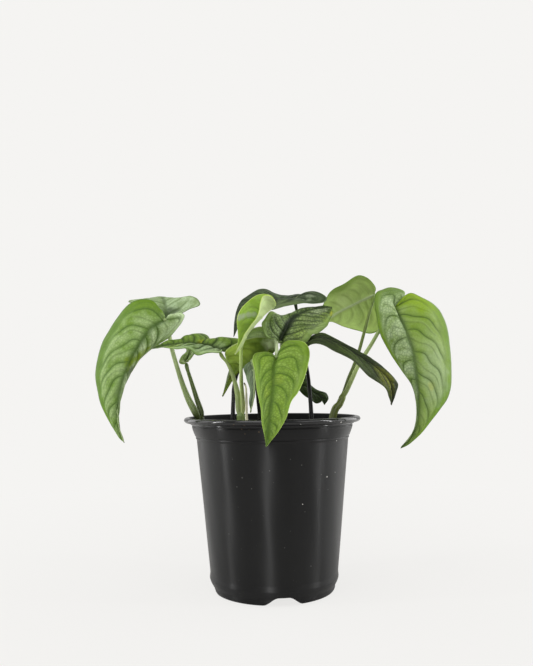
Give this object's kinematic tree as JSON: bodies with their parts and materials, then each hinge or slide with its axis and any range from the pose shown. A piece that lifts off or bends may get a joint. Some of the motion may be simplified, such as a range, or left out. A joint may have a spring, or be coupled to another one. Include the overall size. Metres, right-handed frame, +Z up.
{
  "type": "potted monstera siltepecana",
  "caption": "Young climbing aroid with silvery, heart-shaped, pointed leaves on long petioles, growing in a round black plastic nursery pot filled with soil.",
  "frame": {"origin": "under the middle of the pot, on the surface that the pot stands on, which is also the bottom centre of the whole plant's box", "axes": "+Z up; +X to the viewer's right, across the widest spread of the leaves; +Y away from the viewer, along the narrower spread; the drain arch that shows at the front faces -Y"},
  "size_m": [0.3317, 0.1896, 0.2944],
  "materials": {
    "pot": "satin",
    "soil": "matte",
    "stem_dark": "satin",
    "stem_light": "satin",
    "sheath": "matte",
    "leaf_silver": "satin",
    "leaf_grey": "satin",
    "leaf_fresh": "satin",
    "leaf_bright": "satin",
    "leaf_deep": "satin",
    "leaf_dusky": "satin",
    "leaf_olive": "satin"
  },
  "bodies": {
    "root": {"pot": "pot", "soil": "soil", "left_stem": "stem_dark", "centre_stem": "stem_light", "right_stem": "stem_dark", "dried_sheath": "sheath", "leaf_big_left": "leaf_silver", "leaf_back_left": "leaf_grey", "leaf_wavy_left": "leaf_deep", "leaf_hidden_left": "leaf_deep", "leaf_young_arched": "leaf_fresh", "leaf_folded_centre": "leaf_olive", "leaf_mottled_centre": "leaf_deep", "leaf_front_bright": "leaf_bright", "leaf_hanging_grey": "leaf_grey", "leaf_pale_right": "leaf_bright", "leaf_dark_right": "leaf_dusky", "leaf_big_right": "leaf_silver", "leaf_small_curled": "leaf_deep", "leaf_back_dark": "leaf_deep"}
  },
  "joints": []
}
